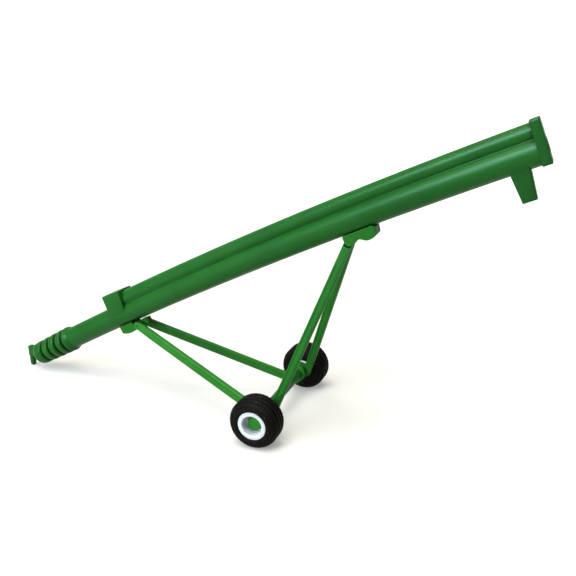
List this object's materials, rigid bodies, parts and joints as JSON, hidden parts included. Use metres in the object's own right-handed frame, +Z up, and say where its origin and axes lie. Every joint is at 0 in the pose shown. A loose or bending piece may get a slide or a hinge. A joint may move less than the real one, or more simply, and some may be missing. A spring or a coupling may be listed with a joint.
{
  "type": "toy grain auger",
  "caption": "Scale-model portable grain auger: bowed twin-tube body with ringed intake and chute, raised on a wheeled A-frame whose upper frame slides along the tube.",
  "frame": {"origin": "on the floor plane, under the middle of the bounding box", "axes": "+X towards the discharge end, +Y to the left, +Z up"},
  "size_m": [0.1708, 0.0486, 0.0909],
  "materials": {
    "green_plastic": "satin",
    "strut_plastic": "satin",
    "tyre_rubber": "satin",
    "white_plastic": "gloss"
  },
  "bodies": {
    "body": {"body_shell_left": "green_plastic", "body_shell_right": "green_plastic", "end_plate": "green_plastic", "discharge_spout": "green_plastic", "intake_rings": "green_plastic", "hitch_tongue": "green_plastic", "lower_bracket": "green_plastic", "lower_pin": "green_plastic"},
    "shoe": {"slide_shoe": "green_plastic"},
    "lower_frame": {"lower_strut_left": "strut_plastic", "lower_strut_right": "strut_plastic", "axle_sleeve": "green_plastic", "axle": "green_plastic", "axle_cap": "green_plastic"},
    "lift_frame": {"lift_strut_left": "strut_plastic", "lift_strut_right": "strut_plastic", "shoe_pin": "green_plastic"},
    "left_wheel": {"tyre_left": "tyre_rubber", "wheel_left": "white_plastic"},
    "right_wheel": {"tyre_right": "tyre_rubber", "wheel_right": "white_plastic"}
  },
  "joints": [
    {"name": "lift_slide", "type": "slide", "parent": "body", "child": "shoe", "axis": [0.9112, 0, 0.4119], "range_m": [-0.008, 0.008]},
    {"name": "lower_frame_pivot", "type": "hinge", "parent": "body", "child": "lower_frame", "pos_m": [-0.03537, 0, 0.02299], "axis": [0, -1, 0], "range_deg": [-6.6, 6.6]},
    {"name": "lift_frame_pivot", "type": "hinge", "parent": "lower_frame", "child": "lift_frame", "pos_m": [0.01516, 0, 0.0075], "axis": [0, -1, 0], "range_deg": [-13.2, 13.2]},
    {"name": "left_wheel_spin", "type": "hinge", "parent": "lower_frame", "child": "left_wheel", "pos_m": [0.01516, 0.02015, 0.0075], "axis": [0, 1, 0], "continuous": true},
    {"name": "right_wheel_spin", "type": "hinge", "parent": "lower_frame", "child": "right_wheel", "pos_m": [0.01516, -0.02015, 0.0075], "axis": [0, 1, 0], "continuous": true}
  ],
  "couplings": [
    {"joint": "lower_frame_pivot", "follows": "lift_slide", "rad_per_m": 13.9},
    {"joint": "lift_frame_pivot", "follows": "lift_slide", "rad_per_m": -27.9}
  ]
}
